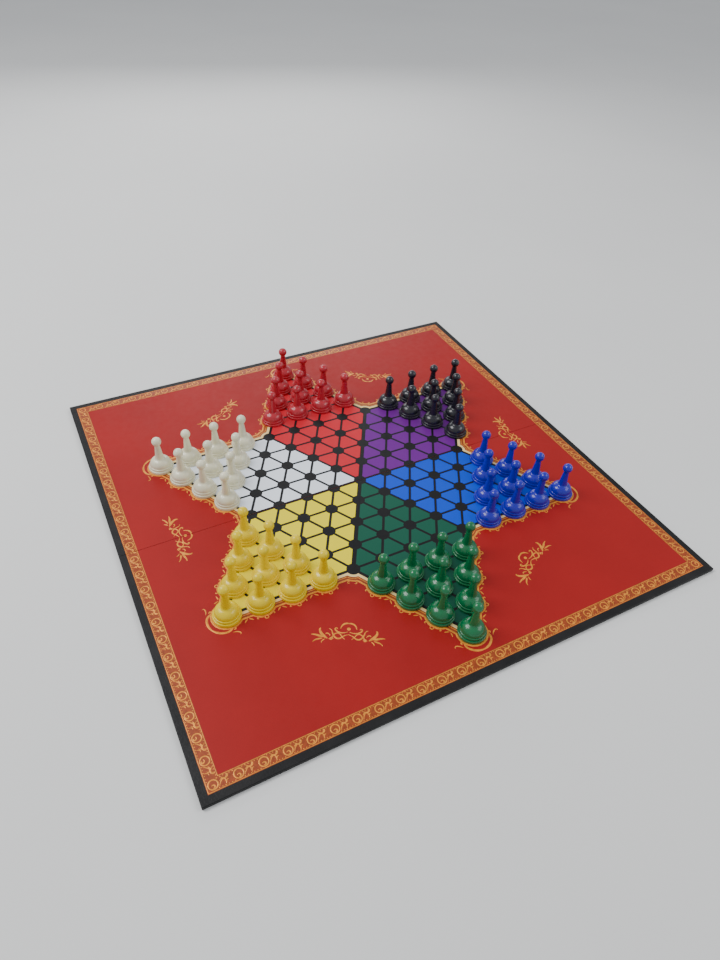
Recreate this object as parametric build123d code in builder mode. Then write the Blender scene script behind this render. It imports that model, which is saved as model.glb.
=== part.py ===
"""Chinese checkers board: a folding square board with a printed six-pointed star, and its sixty pegs.

Millimetres, +Z up. The origin is on the surface the board stands on, under the middle of the board. The fold line
is the X axis. The near half lies towards -Y and the far half towards +Y.
"""

import os
from math import cos, radians, sin, sqrt

from build123d import *

# Board
board_side = 360.0
pitches_across_board = 16.5
pitch = board_side / pitches_across_board
core_thickness = 2.0
paper_thickness = 0.3
board_thickness = core_thickness + 2 * paper_thickness
margin_width = 4.8
edge_radius = 0.45
fold_gap = 0.3
tape_half_width = 12.0
ink_height = 0.1

# Star: the hexagon's side in pitches, which is also the number of rows in an arm, and the arms' directions
hexagon_side = 4
arm_directions = {
    "red": 90,
    "black": 30,
    "blue": -30,
    "green": -90,
    "yellow": -150,
    "white": 150,
}

# Peg: radii, and heights above the print it stands on
base_radius = 9.2
base_height = 2.1
ring_radius = 8.4
ring_top = 3.9
dome_radius = 7.8
shoulder_radius = 3.25
shoulder_height = 9.3
neck_radius = 1.85
ball_radius = 3.5
peg_height = 28.5
rim_round = 0.55
shoulder_round = 1.6
ball_round = 0.5

# Derived sizes
half_side = board_side / 2
core_half_side = half_side - paper_thickness
face_half_side = half_side - margin_width
seam = fold_gap / 2
face_low = board_thickness - paper_thickness
standing_height = board_thickness + ink_height
row_spacing = pitch * sqrt(3) / 2
ball_centre = peg_height - ball_radius
neck_top = ball_centre - sqrt(ball_radius**2 - neck_radius**2)


def slab(side, half_width, outer, low, high, inner=seam, mode=Mode.ADD):
    """A box on one side of the fold, between two distances from it and two heights."""
    with Locations((0, side * (inner + outer) / 2, (low + high) / 2)):
        Box(2 * half_width, outer - inner, high - low, mode=mode)


def round_corner(sketch, x, z, radius):
    """Round the corner of a profile that lies nearest to a point."""
    fillet(sketch.vertices().sort_by_distance((x, z))[0], radius=radius)


def row_places(direction, row):
    """Where the pegs of one row stand on the raised print. Row 1 is next to the hexagon, the last row is the tip."""
    angle = radians(direction)
    distance = (hexagon_side + row) * row_spacing
    count = hexagon_side + 1 - row
    places = []
    for n in range(count):
        across = (n - (count - 1) / 2) * pitch
        x = distance * cos(angle) - across * sin(angle)
        y = distance * sin(angle) + across * cos(angle)
        places.append((x, y, standing_height))
    return places


def write(sub_part, name):
    """Label a finished piece and write its STEP file."""
    sub_part.part.label = name
    export_step(sub_part.part, f"parts/{name}.step")


os.makedirs("parts", exist_ok=True)

# The board's two halves. Each is a greyboard core in a paper wrap, with a printed face sheet on top and a leaf of
# the cloth hinge tape underneath.
for half, side in {"near": -1, "far": 1}.items():
    with BuildPart() as core:
        slab(side, core_half_side, core_half_side, paper_thickness, face_low)
    write(core, f"{half}_core")

    # The wrap covers the underside up to the tape, goes round the three outer edges and turns in over the face.
    with BuildPart() as wrap:
        slab(side, half_side, half_side, 0, board_thickness)
        outer_wall = wrap.faces().sort_by(Axis.Y)[-1 if side > 0 else 0]
        end_walls = wrap.faces().filter_by(Axis.X)
        fillet(outer_wall.edges() + end_walls.edges().filter_by(Axis.Y), edge_radius)
        slab(side, core_half_side, core_half_side, paper_thickness, face_low, mode=Mode.SUBTRACT)
        slab(side, face_half_side, face_half_side, face_low, board_thickness, mode=Mode.SUBTRACT)
        slab(side, core_half_side, tape_half_width, 0, paper_thickness, mode=Mode.SUBTRACT)
    write(wrap, f"{half}_wrap")

    with BuildPart() as face_sheet:
        slab(side, face_half_side, face_half_side, face_low, board_thickness)
    write(face_sheet, f"{half}_face_sheet")

    with BuildPart() as tape:
        slab(side, core_half_side, tape_half_width, 0, paper_thickness)
    write(tape, f"{half}_hinge_tape")

# One peg at the origin: a stepped foot, a domed body, a tapering neck and a ball
with BuildPart() as peg:
    with BuildSketch(Plane.XZ) as profile:
        with BuildLine():
            Polyline(
                (0, 0),
                (base_radius, 0),
                (base_radius, base_height),
                (ring_radius, base_height),
                (ring_radius, ring_top),
                (dome_radius, ring_top),
            )
            TangentArc(
                ((dome_radius, ring_top), (shoulder_radius, shoulder_height)),
                tangent=(0, 1),
            )
            Line((shoulder_radius, shoulder_height), (neck_radius, neck_top))
            ThreePointArc(
                (neck_radius, neck_top),
                (ball_radius, ball_centre),
                (0, peg_height),
            )
            Line((0, peg_height), (0, 0))
        make_face()
        round_corner(profile, base_radius, base_height, rim_round)
        round_corner(profile, ring_radius, ring_top, rim_round)
        round_corner(profile, shoulder_radius, shoulder_height, shoulder_round)
        round_corner(profile, neck_radius, neck_top, ball_round)
    revolve(axis=Axis.Z)

# Sixty pegs fill the arms. The seven nearest the hexagon in each arm are nodes of their own, and the three at the
# arm's tip share one.
for colour, direction in arm_directions.items():
    rows = [row_places(direction, row) for row in range(1, hexagon_side + 1)]
    pieces = {f"{colour}_peg_front_{n}": [place] for n, place in enumerate(rows[0], 1)}
    pieces |= {f"{colour}_peg_second_{n}": [place] for n, place in enumerate(rows[1], 1)}
    pieces[f"{colour}_pegs_tip"] = rows[2] + rows[3]
    for name, places in pieces.items():
        with BuildPart() as piece:
            with Locations(*places):
                add(peg.part)
        write(piece, name)
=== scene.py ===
"""The looks of the Chinese checkers board: print, papers, hinge cloth and glossy pegs, in a pale studio."""

import math

import bmesh
import bpy
from mathutils import Matrix, Vector


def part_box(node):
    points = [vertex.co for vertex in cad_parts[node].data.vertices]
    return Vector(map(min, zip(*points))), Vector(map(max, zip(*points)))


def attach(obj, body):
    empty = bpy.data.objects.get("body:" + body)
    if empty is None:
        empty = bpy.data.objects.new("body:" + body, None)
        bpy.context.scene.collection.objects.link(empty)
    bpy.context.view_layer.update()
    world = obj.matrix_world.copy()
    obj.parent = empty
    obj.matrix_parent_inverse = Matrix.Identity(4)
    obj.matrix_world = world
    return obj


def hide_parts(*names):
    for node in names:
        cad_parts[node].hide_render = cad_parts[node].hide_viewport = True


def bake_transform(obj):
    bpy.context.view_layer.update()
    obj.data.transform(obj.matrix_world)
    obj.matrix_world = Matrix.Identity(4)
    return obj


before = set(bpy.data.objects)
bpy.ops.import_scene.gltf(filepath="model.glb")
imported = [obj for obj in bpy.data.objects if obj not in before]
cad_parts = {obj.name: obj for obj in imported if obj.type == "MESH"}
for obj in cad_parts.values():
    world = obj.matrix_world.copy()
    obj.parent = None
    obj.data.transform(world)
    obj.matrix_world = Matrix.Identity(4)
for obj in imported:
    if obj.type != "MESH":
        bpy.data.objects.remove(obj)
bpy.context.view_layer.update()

# ----------------------------------------------------------------------------------------------------
# Sizes, from the frame. The print is drawn in pitches: 1 is the distance between two neighbouring dots.
# ----------------------------------------------------------------------------------------------------
PITCHES_ACROSS = 16.5
PITCH = 2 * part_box("near_wrap")[1].x / PITCHES_ACROSS
ROW = math.sqrt(3) / 2
FACE_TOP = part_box("near_face_sheet")[1].z
FACE_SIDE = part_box("near_face_sheet")[1].x / PITCH
SEAM = -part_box("near_face_sheet")[1].y
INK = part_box("red_peg_front_1")[0].z - FACE_TOP
BODIES = {"near": "near_half", "far": "far_half"}

# Heights of the inks above the face sheet, as shares of the raised print
BED = -0.2
ON_FIELD = -0.1
ON_BASE = 0.2
BASE_TOP = 0.25
CREAM_TOP = 0.5
BLACK_TOP = 0.75
CELL_TOP = 0.95

# Star, in pitches
HEXAGON = 4
DOT_RADIUS = 0.215
LINE_HALF = 0.042
WIDE_LINE_HALF = 0.07
BOLD_LINE_HALF = 0.055

# The star's nested outlines, in pitches: how far each stands off the lines, and its radius round each dot
BLACK_OUTLINE = (LINE_HALF * 1.3, DOT_RADIUS * 1.03)
CREAM_OUTLINE = (0.15, 0.31)
HALO_OUTLINE = (0.3, 0.44)
INNER_LACE_OUTLINE = (0.2, 0.365)
OUTER_LACE_OUTLINE = (0.3, 0.45)

# Ornament, in pitches
LACE_RING_RADIUS = 0.05
LACE_RING_OUT = 0.515
FLOURISH_DISTANCE = 6.3
FLOURISH_SCALE = 1.15
BAND = 0.36
BAND_LINE_INSET = 0.022
BAND_BEAD_INSET = 0.055
BAND_RING_RADIUS = 0.118
UNITS_PER_SIDE = 25
BEADS_PER_UNIT = 8


# ----------------------------------------------------------------------------------------------------
# Materials
# ----------------------------------------------------------------------------------------------------
class Paint:
    """A node material under construction: a Principled shader and short calls for the nodes that feed it."""

    def __init__(self, name, **sockets):
        self.material = bpy.data.materials.new(name)
        self.material.use_nodes = True
        self.tree = self.material.node_tree
        self.shader = self.tree.nodes["Principled BSDF"]
        for key, value in sockets.items():
            self.shader.inputs[key.replace("_", " ")].default_value = value
        self.place = self.node("ShaderNodeTexCoord").outputs["Object"]

    def node(self, kind, **settings):
        made = self.tree.nodes.new(kind)
        for key, value in settings.items():
            setattr(made, key, value)
        return made

    def join(self, source, target):
        self.tree.links.new(source, target)

    def scaled(self, scale):
        """The object's coordinates, stretched by a factor for each axis."""
        mapping = self.node("ShaderNodeMapping")
        mapping.inputs["Scale"].default_value = scale
        self.join(self.place, mapping.inputs["Vector"])
        return mapping.outputs["Vector"]

    def noise(self, scale, detail=4.0, rough=0.55, place=None):
        made = self.node("ShaderNodeTexNoise")
        made.inputs["Scale"].default_value = scale
        made.inputs["Detail"].default_value = detail
        made.inputs["Roughness"].default_value = rough
        self.join(place or self.place, made.inputs["Vector"])
        return made.outputs["Fac"]

    def pebbles(self, scale):
        """Soft round cells, as in embossed leather grain."""
        made = self.node("ShaderNodeTexVoronoi", feature="SMOOTH_F1")
        made.inputs["Scale"].default_value = scale
        self.join(self.place, made.inputs["Vector"])
        return made.outputs["Distance"]

    def bands(self, scale, direction):
        """Even stripes across a direction."""
        made = self.node("ShaderNodeTexWave", wave_type="BANDS", bands_direction=direction)
        made.inputs["Scale"].default_value = scale
        self.join(self.place, made.inputs["Vector"])
        return made.outputs["Fac"]

    def spread(self, source, low, high, low_in=0.3, high_in=0.7):
        """A value mapped onto a new range."""
        made = self.node("ShaderNodeMapRange")
        for key, value in zip(("From Min", "From Max", "To Min", "To Max"), (low_in, high_in, low, high)):
            made.inputs[key].default_value = value
        self.join(source, made.inputs["Value"])
        return made.outputs["Result"]

    def maths(self, operation, first, second):
        """Two values combined. A number is set on its socket, and anything else is linked."""
        made = self.node("ShaderNodeMath", operation=operation)
        for socket, value in zip(made.inputs, (first, second)):
            if isinstance(value, float):
                socket.default_value = value
            else:
                self.join(value, socket)
        return made.outputs["Value"]

    def tint(self, factor, first, second):
        """A colour between two. The mix node's colour sockets are inputs 6 and 7, and output 2."""
        made = self.node("ShaderNodeMix", data_type="RGBA")
        self.join(factor, made.inputs["Factor"])
        for socket, value in ((made.inputs[6], first), (made.inputs[7], second)):
            if isinstance(value, tuple):
                socket.default_value = (*value, 1)
            else:
                self.join(value, socket)
        return made.outputs[2]

    def colour(self, source):
        self.join(source, self.shader.inputs["Base Color"])

    def roughness(self, source):
        self.join(source, self.shader.inputs["Roughness"])

    def bump(self, source, distance, strength):
        made = self.node("ShaderNodeBump")
        made.inputs["Distance"].default_value = distance
        made.inputs["Strength"].default_value = strength
        self.join(source, made.inputs["Height"])
        self.join(made.outputs["Normal"], self.shader.inputs["Normal"])


def linear(red, green, blue):
    """A display colour, 0 to 255, as the linear values that shaders take."""
    values = []
    for level in (red, green, blue):
        share = level / 255
        values.append(share / 12.92 if level <= 10 else ((share + 0.055) / 1.055) ** 2.4)
    return tuple(values)


def shade(colour, factor):
    """A colour made darker or lighter."""
    return tuple(min(1.0, c * factor) for c in colour)


def ink_material(name, colour, variation=0.12, roughness=(0.42, 0.56), mottle=0.0):
    """A printed ink on varnished paper: fine speckle, slow mottle and the paper's fibre in its gloss."""
    paint = Paint(name, Specular_IOR_Level=0.22)
    speckle = paint.spread(paint.noise(2600, 3), 0, 1)
    fine = paint.tint(speckle, shade(colour, 1 - variation), shade(colour, 1 + variation))
    if mottle:
        slow = paint.spread(paint.noise(14, 5), 0, 1)
        dark, light = 1 - mottle - variation, 1 - mottle + variation
        deep = paint.tint(speckle, shade(colour, dark), shade(colour, light))
        fine = paint.tint(slow, deep, fine)
    paint.colour(fine)
    paint.roughness(paint.spread(paint.noise(220, 5), *roughness))
    paint.bump(paint.noise(3200, 4), 0.00002, 0.35)
    return paint.material


def gold_material(name, colour, metallic):
    """A gold printing ink: a little metallic, darker in blotches where it lies thin."""
    paint = Paint(name, Metallic=metallic, Specular_IOR_Level=0.4)
    blotch = paint.spread(paint.noise(420, 5, 0.7), 0, 1, 0.35, 0.65)
    paint.colour(paint.tint(blotch, shade(colour, 0.72), shade(colour, 1.15)))
    paint.roughness(paint.spread(paint.noise(900, 3), 0.3, 0.45))
    paint.bump(paint.noise(3200, 4), 0.00002, 0.35)
    return paint.material


def plastic_material(name, colour, scatter=0.0, coat=0.25):
    """Injection-moulded gloss plastic: clean and shiny, with faint flow marks and handling haze."""
    paint = Paint(name, IOR=1.5, Coat_Weight=coat, Coat_Roughness=0.06)
    flow = paint.spread(paint.noise(90, 4, 0.6), 0, 1)
    paint.colour(paint.tint(flow, shade(colour, 0.88), shade(colour, 1.1)))
    paint.roughness(paint.spread(paint.noise(380, 5, 0.65), 0.17, 0.33))
    paint.bump(paint.noise(700, 3), 0.00003, 0.25)
    if scatter:
        paint.shader.inputs["Subsurface Weight"].default_value = scatter
        paint.shader.inputs["Subsurface Scale"].default_value = 0.002
        paint.shader.inputs["Subsurface Radius"].default_value = (1.0, 0.8, 0.5)
    return paint.material


def wrap_material():
    """Black book paper with an embossed leather grain, rubbed paler in broad patches."""
    paint = Paint("black_wrap_paper", Specular_IOR_Level=0.3)
    grain = paint.pebbles(1100)
    crease = paint.noise(1700, 4)
    height = paint.maths("ADD", paint.spread(grain, 0, 1, 0.1, 0.7), paint.maths("MULTIPLY", crease, 0.4))
    rubbed = paint.spread(paint.noise(60, 5), 0, 1, 0.42, 0.75)
    paint.colour(paint.tint(rubbed, linear(13, 13, 15), linear(28, 27, 28)))
    paint.roughness(paint.spread(height, 0.42, 0.62, 0.2, 1.2))
    paint.bump(height, 0.00006, 0.6)
    return paint.material


def greyboard_material():
    """Recycled greyboard: pressed layers seen from the edge, with light and dark fibres."""
    paint = Paint("greyboard", Specular_IOR_Level=0.2)
    layers = paint.noise(1, 4, place=paint.scaled((260, 260, 4200)))
    fibres = paint.noise(1500, 5, 0.7)
    mixed = paint.maths("MULTIPLY", paint.maths("ADD", layers, fibres), 0.5)
    paleness = paint.spread(mixed, 0, 1, 0.35, 0.65)
    paint.colour(paint.tint(paleness, linear(118, 112, 101), linear(171, 164, 150)))
    paint.roughness(paint.spread(fibres, 0.85, 0.98))
    paint.bump(mixed, 0.00012, 0.7)
    return paint.material


def cloth_material():
    """Plain-woven bookbinding cloth: warp and weft threads under a thin size coat."""
    thread_spacing = 0.0007
    bands_at_scale_one = 20 / (2 * math.pi)
    threads = 1 / thread_spacing / bands_at_scale_one
    paint = Paint("hinge_cloth", Specular_IOR_Level=0.3, Sheen_Weight=0.2, Sheen_Roughness=0.4)
    warp = paint.bands(threads, "X")
    weft = paint.bands(threads, "Y")
    weave = paint.maths("MAXIMUM", warp, weft)
    slub = paint.noise(1, 3, place=paint.scaled((90, 1500, 90)))
    paint.colour(paint.tint(paint.maths("MULTIPLY", weave, slub), linear(16, 16, 18), linear(54, 54, 57)))
    paint.roughness(paint.spread(slub, 0.62, 0.85))
    paint.bump(weave, 0.00009, 0.7)
    return paint.material


def floor_material():
    """Pale matt studio paper."""
    paint = Paint("studio_floor", Roughness=0.75, Specular_IOR_Level=0.2)
    paint.colour(paint.tint(paint.noise(3, 4), linear(222, 222, 221), linear(232, 232, 230)))
    return paint.material


PRINT = {
    "field": ink_material("red_field_print", linear(162, 25, 24), 0.07, mottle=0.14),
    "black": ink_material("black_ink", linear(20, 20, 22), 0.1, (0.38, 0.5)),
    "cream": ink_material("cream_ink", linear(246, 214, 146), 0.06),
    "gold_base": gold_material("gold_base_ink", linear(156, 66, 24), 0.1),
    "gold": gold_material("gold_line_ink", linear(236, 150, 46), 0.2),
}
CELL_INKS = {
    "red": ink_material("red_cell_ink", linear(204, 34, 48), 0.07),
    "purple": ink_material("purple_cell_ink", linear(104, 18, 132), 0.07),
    "blue": ink_material("blue_cell_ink", linear(0, 70, 208), 0.07),
    "green": ink_material("green_cell_ink", linear(10, 84, 64), 0.07),
    "yellow": ink_material("yellow_cell_ink", linear(240, 222, 0), 0.06),
    "white": ink_material("white_cell_ink", linear(236, 242, 252), 0.03),
}
PLASTICS = {
    "red": plastic_material("red_plastic", linear(178, 34, 48), 0.05),
    "black": plastic_material("black_plastic", linear(30, 29, 38)),
    "blue": plastic_material("blue_plastic", linear(24, 18, 172), 0.05),
    "green": plastic_material("green_plastic", linear(0, 108, 62), 0.05),
    "yellow": plastic_material("yellow_plastic", linear(234, 206, 0), coat=0.05),
    "white": plastic_material("white_plastic", linear(228, 224, 196), 0.1),
}
CLOTH = cloth_material()


def paint_cad_nodes():
    """Give every CAD node that shows as it is the material of what it is made of."""
    finishes = {"core": greyboard_material(), "wrap": wrap_material(), "hinge_tape": CLOTH}
    finishes["face_sheet"] = PRINT["field"]
    for name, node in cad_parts.items():
        owner, _, kind = name.partition("_")
        material = PLASTICS[owner] if owner in PLASTICS else finishes[kind]
        for slot in node.material_slots:
            slot.material = material


def add_hinge_cloth():
    """One strip of cloth under both halves, from the near tape to the far tape, in narrow steps across the
    fold.
    """
    low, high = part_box("near_hinge_tape")[0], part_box("far_hinge_tape")[1]
    bend_steps = 12
    stations = [low.y] + [SEAM * (2 * n / bend_steps - 1) for n in range(bend_steps + 1)] + [high.y]
    points, faces = [], []
    for y in stations:
        points += [(low.x, y, low.z), (high.x, y, low.z), (high.x, y, high.z), (low.x, y, high.z)]
    for n in range(len(stations) - 1):
        for m in range(4):
            here, beside = 4 * n + m, 4 * n + (m + 1) % 4
            faces.append((here, here + 4, beside + 4, beside))
    last = 4 * (len(stations) - 1)
    faces += [(0, 1, 2, 3), (last + 3, last + 2, last + 1, last)]
    data = bpy.data.meshes.new("hinge_cloth")
    data.from_pydata(points, [], faces)
    data.materials.append(CLOTH)
    cloth = bpy.data.objects.new("hinge_cloth", data)
    bpy.context.scene.collection.objects.link(cloth)
    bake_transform(cloth)
    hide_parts("near_hinge_tape", "far_hinge_tape")


# ----------------------------------------------------------------------------------------------------
# Print: every ink is a set of thin closed pieces, cut at the fold so that each half carries its own
# ----------------------------------------------------------------------------------------------------
class Ink:
    """One ink. Shapes are drawn in pitches, and heights are shares of the raised print's height."""

    def __init__(self, name, material, slot):
        self.name, self.material, self.slot = name, material, slot
        self.mesh = bmesh.new()

    def point(self, x, y, height):
        return self.mesh.verts.new((x * PITCH, y * PITCH, FACE_TOP + height * INK))

    def plate(self, outline, top):
        """A flat piece with a given outline, counterclockwise."""
        lower = [self.point(x, y, BED) for x, y in outline]
        upper = [self.point(x, y, top) for x, y in outline]
        count = len(outline)
        for n in range(count):
            m = (n + 1) % count
            self.mesh.faces.new((lower[n], lower[m], upper[m], upper[n]))
        caps = [self.mesh.faces.new(upper), self.mesh.faces.new(lower[::-1])]
        for cap in caps:
            cap.normal_update()
        bmesh.ops.triangulate(self.mesh, faces=caps)

    def ridge(self, path, widths, foot, top, closed=False):
        """A raised line with a peaked section, along a path, with a width at each point."""
        count = len(path)
        sections = []
        for n, (x, y) in enumerate(path):
            before = path[n - 1] if closed or n else path[0]
            after = path[(n + 1) % count] if closed or n < count - 1 else path[-1]
            along = (Vector(after) - Vector(before)).normalized()
            side = Vector((-along.y, along.x)) * widths[n] / 2
            left = self.point(x + side.x, y + side.y, foot)
            peak = self.point(x, y, top)
            right = self.point(x - side.x, y - side.y, foot)
            sections.append((left, peak, right))
        pairs = list(zip(sections, sections[1:]))
        if closed:
            pairs.append((sections[-1], sections[0]))
        for (left_a, peak_a, right_a), (left_b, peak_b, right_b) in pairs:
            self.mesh.faces.new((left_a, peak_a, peak_b, left_b))
            self.mesh.faces.new((right_a, right_b, peak_b, peak_a))
            self.mesh.faces.new((left_a, left_b, right_b, right_a))
        if not closed:
            left, peak, right = sections[0]
            self.mesh.faces.new((left, right, peak))
            left, peak, right = sections[-1]
            self.mesh.faces.new((left, peak, right))

    def bead(self, centre, radius, foot, top, sides=8):
        """A small raised dot."""
        x, y = centre
        peak = self.point(x, y, top)
        rim = []
        for n in range(sides):
            angle = 2 * math.pi * n / sides
            rim.append(self.point(x + radius * math.cos(angle), y + radius * math.sin(angle), foot))
        for n in range(sides):
            self.mesh.faces.new((peak, rim[n], rim[(n + 1) % sides]))
        self.mesh.faces.new(rim[::-1])

    def finish(self):
        """Cut the ink along the fold and let each part ride on its half of the board."""
        on_plane = 1e-9
        for half, side in (("near", -1), ("far", 1)):
            piece = self.mesh.copy()
            everything = piece.verts[:] + piece.edges[:] + piece.faces[:]
            cut = bmesh.ops.bisect_plane(
                piece,
                geom=everything,
                dist=on_plane,
                plane_co=(0, side * SEAM, 0),
                plane_no=(0, -side, 0),
                clear_outer=True,
            )
            rim = [e for e in cut["geom_cut"] if isinstance(e, bmesh.types.BMEdge)]
            bmesh.ops.holes_fill(piece, edges=rim, sides=0)
            if not piece.faces:
                piece.free()
                continue
            bmesh.ops.recalc_face_normals(piece, faces=piece.faces)
            data = bpy.data.meshes.new(f"{self.name}_{half}")
            piece.to_mesh(data)
            piece.free()
            data.materials.append(self.material)
            made = bpy.data.objects.new(data.name, data)
            bpy.context.scene.collection.objects.link(made)
            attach(made, BODIES[half])
        self.mesh.free()


def turned(path, angle, centre=(0, 0), flip=False):
    """A path mirrored across its own Y axis if asked, then turned and moved."""
    c, s = math.cos(angle), math.sin(angle)
    placed = []
    for x, y in path:
        x = -x if flip else x
        placed.append((centre[0] + c * x - s * y, centre[1] + s * x + c * y))
    return placed


def scroll(start, heading, bends, step=0.03):
    """A smooth path from a start point: each bend is a length and how far it turns, in degrees."""
    x, y = start
    angle = math.radians(heading)
    path = [(x, y)]
    for length, turn in bends:
        count = max(2, math.ceil(length / step), math.ceil(abs(turn) / 20))
        for _ in range(count):
            angle += math.radians(turn) / count / 2
            x += length / count * math.cos(angle)
            y += length / count * math.sin(angle)
            angle += math.radians(turn) / count / 2
            path.append((x, y))
    return path


def swell(count, thick, thin=0.25, peak=0.4):
    """Widths along a stroke: thin ends and a thick part, whose place is given as a share of the length."""
    widths = []
    for n in range(count):
        t = n / (count - 1)
        rise = t / peak if t < peak else (1 - t) / (1 - peak)
        widths.append(thick * (thin + (1 - thin) * math.sin(rise * math.pi / 2)))
    return widths


def stroke(start, heading, bends, thick, top, thin=0.25, peak=0.4):
    """A scroll with its widths and its height."""
    path = scroll(start, heading, bends)
    return path, swell(len(path), thick, thin, peak), top


def draw_pair(ink, strokes, angle, centre):
    """Draw strokes and their mirror images at a place in the field."""
    for flip in (False, True):
        for path, widths, top in strokes:
            ink.ridge(turned(path, angle, centre, flip), widths, ON_FIELD, top)


def ring(radius, count=20):
    """Points round a circle."""
    angles = [2 * math.pi * n / count for n in range(count)]
    return [(radius * math.cos(angle), radius * math.sin(angle)) for angle in angles]


# Star lattice ---------------------------------------------------------------------------------------------
def dot_place(i, j):
    """Where a lattice point lies: i counts along X, and j along the direction 60 degrees from it."""
    return Vector((i + j / 2, j * ROW))


def in_star(i, j):
    """Whether a lattice point lies in one of the two large triangles that make the star."""
    k = -i - j
    return min(i, j, k) >= -HEXAGON or max(i, j, k) <= HEXAGON


def polar(radius, degrees):
    return Vector((radius * math.cos(math.radians(degrees)), radius * math.sin(math.radians(degrees))))


def rim_dots():
    """The dots along the star's edge, counterclockwise from the inner corner at 0 degrees."""
    corners = []
    for k in range(6):
        corners.append(polar(HEXAGON, 60 * k))
        corners.append(polar(2 * ROW * HEXAGON, 60 * k + 30))
    dots = []
    for a, b in zip(corners, corners[1:] + corners[:1]):
        dots += [a.lerp(b, n / HEXAGON) for n in range(HEXAGON)]
    return dots


def star_outline(half_width, radius, steps=14):
    """The star's edge at a distance outside its lines, bulging round each dot by a radius."""
    dots = rim_dots()
    outline = []
    lean = math.asin(half_width / radius)
    for n, dot in enumerate(dots):
        back = dots[n - 1] - dot
        ahead = dots[(n + 1) % len(dots)] - dot
        start = math.atan2(back.y, back.x) + lean
        sweep = (math.atan2(ahead.y, ahead.x) - lean - start) % (2 * math.pi)
        for m in range(steps + 1):
            angle = start + sweep * m / steps
            outline.append((dot.x + radius * math.cos(angle), dot.y + radius * math.sin(angle)))
    return outline


def line_half_width(a, b):
    """Half the width of the black line between two lattice points: two of the lines are drawn bolder."""
    if a[0] == 0 and b[0] == 0 and abs(a[1]) <= HEXAGON and abs(b[1]) <= HEXAGON:
        return WIDE_LINE_HALF
    if a[1] == 0 and b[1] == 0 and a[0] <= 0 and b[0] <= 0:
        return BOLD_LINE_HALF
    return LINE_HALF


def cell_outline(corners, arc_steps=6):
    """A lattice triangle less its lines and the dots at its corners."""
    outline = []
    for n, here in enumerate(corners):
        after, before = corners[(n + 1) % 3], corners[n - 1]
        centre = dot_place(*here)
        to_before = dot_place(*before) - centre
        to_after = dot_place(*after) - centre
        start = math.atan2(to_before.y, to_before.x) - math.asin(line_half_width(here, before) / DOT_RADIUS)
        end = math.atan2(to_after.y, to_after.x) + math.asin(line_half_width(here, after) / DOT_RADIUS)
        sweep = (end - start + math.pi) % (2 * math.pi) - math.pi
        for m in range(arc_steps + 1):
            angle = start + sweep * m / arc_steps
            outline.append((centre.x + DOT_RADIUS * math.cos(angle), centre.y + DOT_RADIUS * math.sin(angle)))
    return outline


def cells():
    """Every triangle of the star's lattice, counterclockwise."""
    reach = range(-2 * HEXAGON, 2 * HEXAGON + 1)
    for i in reach:
        for j in reach:
            for corners in (((i, j), (i + 1, j), (i, j + 1)), ((i + 1, j), (i + 1, j + 1), (i, j + 1))):
                if all(in_star(*c) for c in corners):
                    yield corners


def sector_colour(corners):
    """The colour of the sixth of the star that a cell lies in."""
    middle = sum((dot_place(*c) for c in corners), Vector((0, 0))) / 3
    sector = int(math.degrees(math.atan2(middle.y, middle.x)) % 360 // 60)
    return ("purple", "red", "white", "yellow", "green", "blue")[sector]


def print_star():
    """The star's nested outlines, from the gold halo up to the black lattice, and the cells on top."""
    halo = Ink("star_gold_halo", PRINT["gold_base"], "gold_ink")
    halo.plate(star_outline(*HALO_OUTLINE), BASE_TOP)
    halo.finish()

    cream = Ink("star_cream_edge", PRINT["cream"], "cream_ink")
    cream.plate(star_outline(*CREAM_OUTLINE), CREAM_TOP)
    cream.finish()

    black = Ink("star_black_lattice", PRINT["black"], "black_ink")
    black.plate(star_outline(*BLACK_OUTLINE), BLACK_TOP)
    black.finish()

    inks = {name: Ink(f"cells_{name}", ink, "cell_inks") for name, ink in CELL_INKS.items()}
    for corners in cells():
        inks[sector_colour(corners)].plate(cell_outline(corners), CELL_TOP)
    for ink in inks.values():
        ink.finish()


def out_of_star(start, end):
    """The direction out of the star across a stretch of its edge, and the turn that points +Y that way."""
    along = (end - start).normalized()
    out = Vector((along.y, -along.x))
    return out, math.atan2(out.y, out.x) - math.pi / 2


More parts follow.
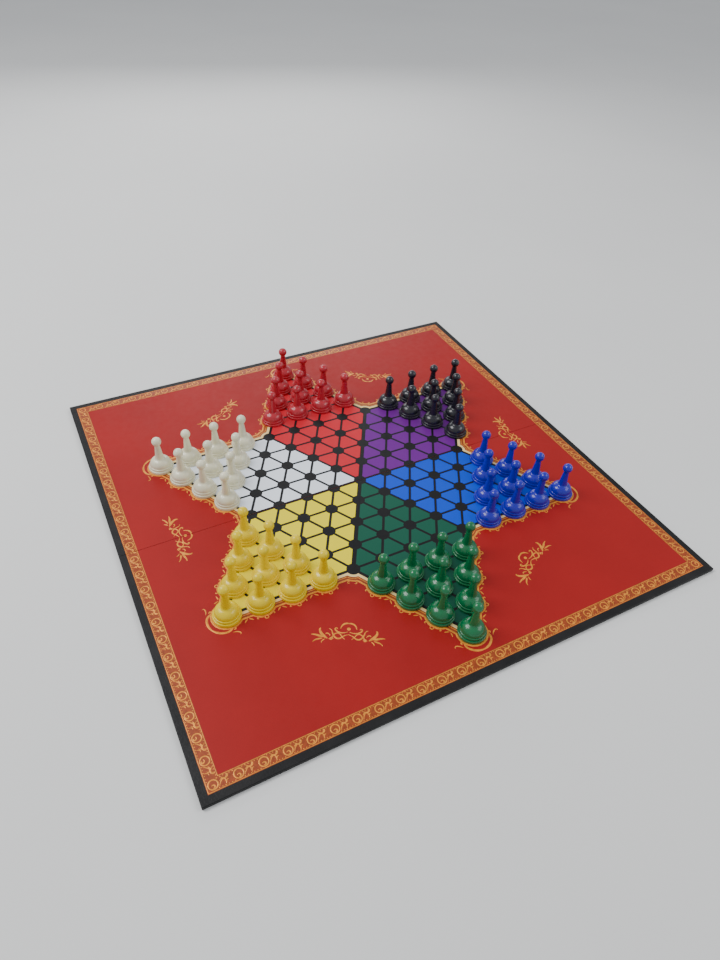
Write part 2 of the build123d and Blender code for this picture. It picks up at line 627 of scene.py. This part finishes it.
def print_lace():
    """The gold lace round the star: a scalloped line, and small loops and leaves at each dot and dip."""
    curl = stroke((0.07, 0.49), -10, ((0.13, -30), (0.09, 120), (0.05, 140)), 0.046, 0.7)
    sweep_bends = ((0.42, -52), (0.22, -58), (0.12, 150), (0.06, 120))
    tip_sweep = stroke((0.0, 0.62), 0, sweep_bends, 0.075, 0.8, 0.6, 0.2)
    tip_leaf = stroke((0.5, 0.34), -60, ((0.2, 40), (0.1, 120)), 0.04, 0.6)
    corner_hook = stroke((0.0, 0.44), 10, ((0.14, 30), (0.08, 130), (0.05, 120)), 0.034, 0.6)
    dip_leaf = stroke((0.02, 0.36), 30, ((0.15, 18),), 0.044, 0.7)
    small_ring = ring(LACE_RING_RADIUS, 14)

    lace = Ink("star_gold_lace", PRINT["gold"], "gold_ink")
    for outline, width, peak in ((INNER_LACE_OUTLINE, 0.036, 0.8), (OUTER_LACE_OUTLINE, 0.075, 0.9)):
        path = star_outline(*outline)
        lace.ridge(path, [width] * len(path), ON_FIELD, peak, closed=True)
    dots = rim_dots()
    for n, dot in enumerate(dots):
        before, after = dots[n - 1], dots[(n + 1) % len(dots)]
        out, facing = out_of_star(before, after)
        step = n % (2 * HEXAGON)
        if step == 0:
            draw_pair(lace, (corner_hook,), facing, dot)
        elif step == HEXAGON:
            draw_pair(lace, (tip_sweep, tip_leaf), facing, dot)
        else:
            crown = turned(small_ring, 0, dot + out * LACE_RING_OUT)
            lace.ridge(crown, [0.034] * len(crown), ON_FIELD, 0.7, closed=True)
            draw_pair(lace, (curl,), facing, dot)
        if step not in (0, 2 * HEXAGON - 1):
            _, facing = out_of_star(dot, after)
            draw_pair(lace, (dip_leaf,), facing, dot.lerp(after, 0.5))
    lace.finish()


def print_flourishes():
    """Six mirrored scrolls in the field, between the star's arms, with their crowns towards the middle."""
    strokes = (
        ((0.0, -0.06), -12, ((0.2, -34), (0.16, 92), (0.18, 34), (0.12, -70)), 0.055, 0.5),
        ((0.02, 0.02), -28, ((0.18, 34), (0.16, 50), (0.07, 120), (0.05, 120)), 0.05, 0.4),
        ((0.2, 0.1), 100, ((0.1, 20), (0.16, 62), (0.06, 10)), 0.06, 0.7),
        ((0.08, -0.2), 40, ((0.16, 20), (0.18, -110), (0.12, -20), (0.1, 90)), 0.04, 0.5),
        ((0.36, -0.2), 80, ((0.09, -130), (0.07, -150), (0.05, -120)), 0.04, 0.4),
        ((0.44, -0.12), 75, ((0.1, -60), (0.06, -110)), 0.04, 0.4),
        ((0.5, -0.2), 30, ((0.2, 20), (0.12, 30), (0.06, 60)), 0.095, 0.35),
        ((0.6, -0.16), 10, ((0.16, 6), (0.14, -22)), 0.075, 0.3),
        ((0.62, -0.2), -16, ((0.14, -4), (0.12, -40)), 0.055, 0.3),
        ((0.56, -0.22), -30, ((0.1, -30), (0.04, -60)), 0.035, 0.3),
    )
    grown = []
    for start, heading, bends, thick, peak in strokes:
        path, widths, top = stroke(start, heading, bends, thick, 0.7, 0.3, peak)
        grown.append(([(x * FLOURISH_SCALE, y * FLOURISH_SCALE) for x, y in path], widths, top))

    gold = Ink("field_flourishes", PRINT["gold"], "gold_ink")
    for k in range(6):
        centre = polar(FLOURISH_DISTANCE, 60 * k)
        facing = math.radians(60 * k + 90)
        draw_pair(gold, grown, facing, centre)
        knob = turned([(0.0, 0.12)], facing, centre)[0]
        gold.bead(knob, 0.06, ON_FIELD, 0.8, 10)
    gold.finish()


def print_border():
    """The gold filigree band: beaded edge lines, ring medallions and slanting scrolls between them."""
    quarter_turns = [math.pi / 2 * k for k in range(4)]
    base = Ink("border_gold_base", PRINT["gold_base"], "gold_ink")
    inner = FACE_SIDE - BAND
    for turn in quarter_turns:
        side = [(-FACE_SIDE, -FACE_SIDE), (FACE_SIDE, -FACE_SIDE), (inner, -inner), (-inner, -inner)]
        base.plate(turned(side, turn), BASE_TOP)
    base.finish()

    unit_strokes = (
        stroke((-0.05, -0.03), 60, ((0.12, -150), (0.08, -140)), 0.04, 0.75, 0.3, 0.6),
        stroke((0.13, -0.1), 70, ((0.16, -30), (0.1, -110), (0.06, -120)), 0.032, 0.65),
        stroke((0.2, 0.12), -60, ((0.14, 50), (0.1, 100), (0.05, 120)), 0.032, 0.65),
        stroke((0.16, 0.02), 40, ((0.08, -20), (0.05, -60)), 0.026, 0.65),
        stroke((0.3, -0.12), 100, ((0.1, -50), (0.06, -90)), 0.026, 0.65),
        stroke((0.36, 0.13), -100, ((0.1, -30), (0.06, -100)), 0.028, 0.65),
    )
    medallion = ring(BAND_RING_RADIUS)
    gold = Ink("border_gold_filigree", PRINT["gold"], "gold_ink")
    middle = FACE_SIDE - BAND / 2
    unit = 2 * middle / UNITS_PER_SIDE
    line_offset = BAND / 2 - BAND_LINE_INSET
    bead_offset = BAND / 2 - BAND_BEAD_INSET
    for turn in quarter_turns:
        for reach in (middle + line_offset, middle - line_offset):
            line = [(-reach, -reach), (0, -reach), (reach, -reach)]
            gold.ridge(turned(line, turn), [0.018] * len(line), ON_BASE, 0.5)
        for n in range(UNITS_PER_SIDE):
            centre = turned([(unit * n - middle, -middle)], turn)[0]
            gold.ridge(turned(medallion, turn, centre), [0.034] * len(medallion), ON_BASE, 0.75, closed=True)
            for path, widths, top in unit_strokes:
                gold.ridge(turned(path, turn, centre), widths, ON_BASE, top)
        for n in range(BEADS_PER_UNIT * UNITS_PER_SIDE):
            # The two beads beside each ring are left out, because the ring covers their places.
            if n % BEADS_PER_UNIT in (0, BEADS_PER_UNIT - 1):
                continue
            x = unit * (n + 0.5) / BEADS_PER_UNIT - middle
            for offset in (bead_offset, -bead_offset):
                bead = turned([(x, -middle - offset)], turn)[0]
                gold.bead(bead, 0.016, ON_BASE, 0.6, 6)
    gold.finish()


# ----------------------------------------------------------------------------------------------------
# Studio
# ----------------------------------------------------------------------------------------------------
def add_floor():
    """A wide pale floor, a hair below the board so that the two don't share a plane."""
    data = bpy.data.meshes.new("studio_floor")
    reach = 30.0
    corners = [(-reach, -reach, 0), (reach, -reach, 0), (reach, reach, 0), (-reach, reach, 0)]
    data.from_pydata(corners, [], [(0, 1, 2, 3)])
    data.materials.append(floor_material())
    floor = bpy.data.objects.new("studio_floor", data)
    hair_below_board = -0.00005
    floor.location.z = hair_below_board
    bpy.context.scene.collection.objects.link(floor)


def add_light(name, place, size, power):
    """A rectangular soft light that points at the middle of the board."""
    data = bpy.data.lights.new(name, "AREA")
    data.shape = "RECTANGLE"
    data.size, data.size_y = size
    data.energy = power
    light = bpy.data.objects.new(name, data)
    light.location = place
    light.rotation_euler = (-Vector(place)).to_track_quat("-Z", "Y").to_euler()
    bpy.context.scene.collection.objects.link(light)


def add_studio():
    """A pale sky with a large key light from behind, and fill and rim lights."""
    world = bpy.data.worlds.new("studio")
    bpy.context.scene.world = world
    world.use_nodes = True
    background = world.node_tree.nodes["Background"]
    background.inputs["Color"].default_value = (0.92, 0.95, 1.0, 1)
    background.inputs["Strength"].default_value = 0.6
    add_light("key_light", (-0.7, 0.45, 1.1), (0.7, 0.7), 13.5)
    add_light("fill_light", (0.9, -0.6, 0.9), (0.9, 0.6), 5)
    add_light("rim_light", (0.3, 1.1, 0.5), (0.8, 0.3), 3)


def add_camera():
    """The viewpoint: front left of the board and above it, with a slight roll."""
    place = Vector((-8.48, -15.13, 16.05)) * PITCH + Vector((0, 0, FACE_TOP))
    aim = Vector((0, 0, FACE_TOP))
    roll = math.radians(3.21)
    data = bpy.data.cameras.new("camera")
    data.lens = 25.5
    data.clip_start = 0.01
    camera = bpy.data.objects.new("camera", data)
    turn = (aim - place).to_track_quat("-Z", "Y").to_matrix() @ Matrix.Rotation(roll, 3, "Z")
    camera.matrix_world = Matrix.Translation(place) @ turn.to_4x4()
    bpy.context.scene.collection.objects.link(camera)
    bpy.context.scene.camera = camera


add_camera()
add_studio()
add_floor()
paint_cad_nodes()
add_hinge_cloth()
print_star()
print_lace()
print_flourishes()
print_border()
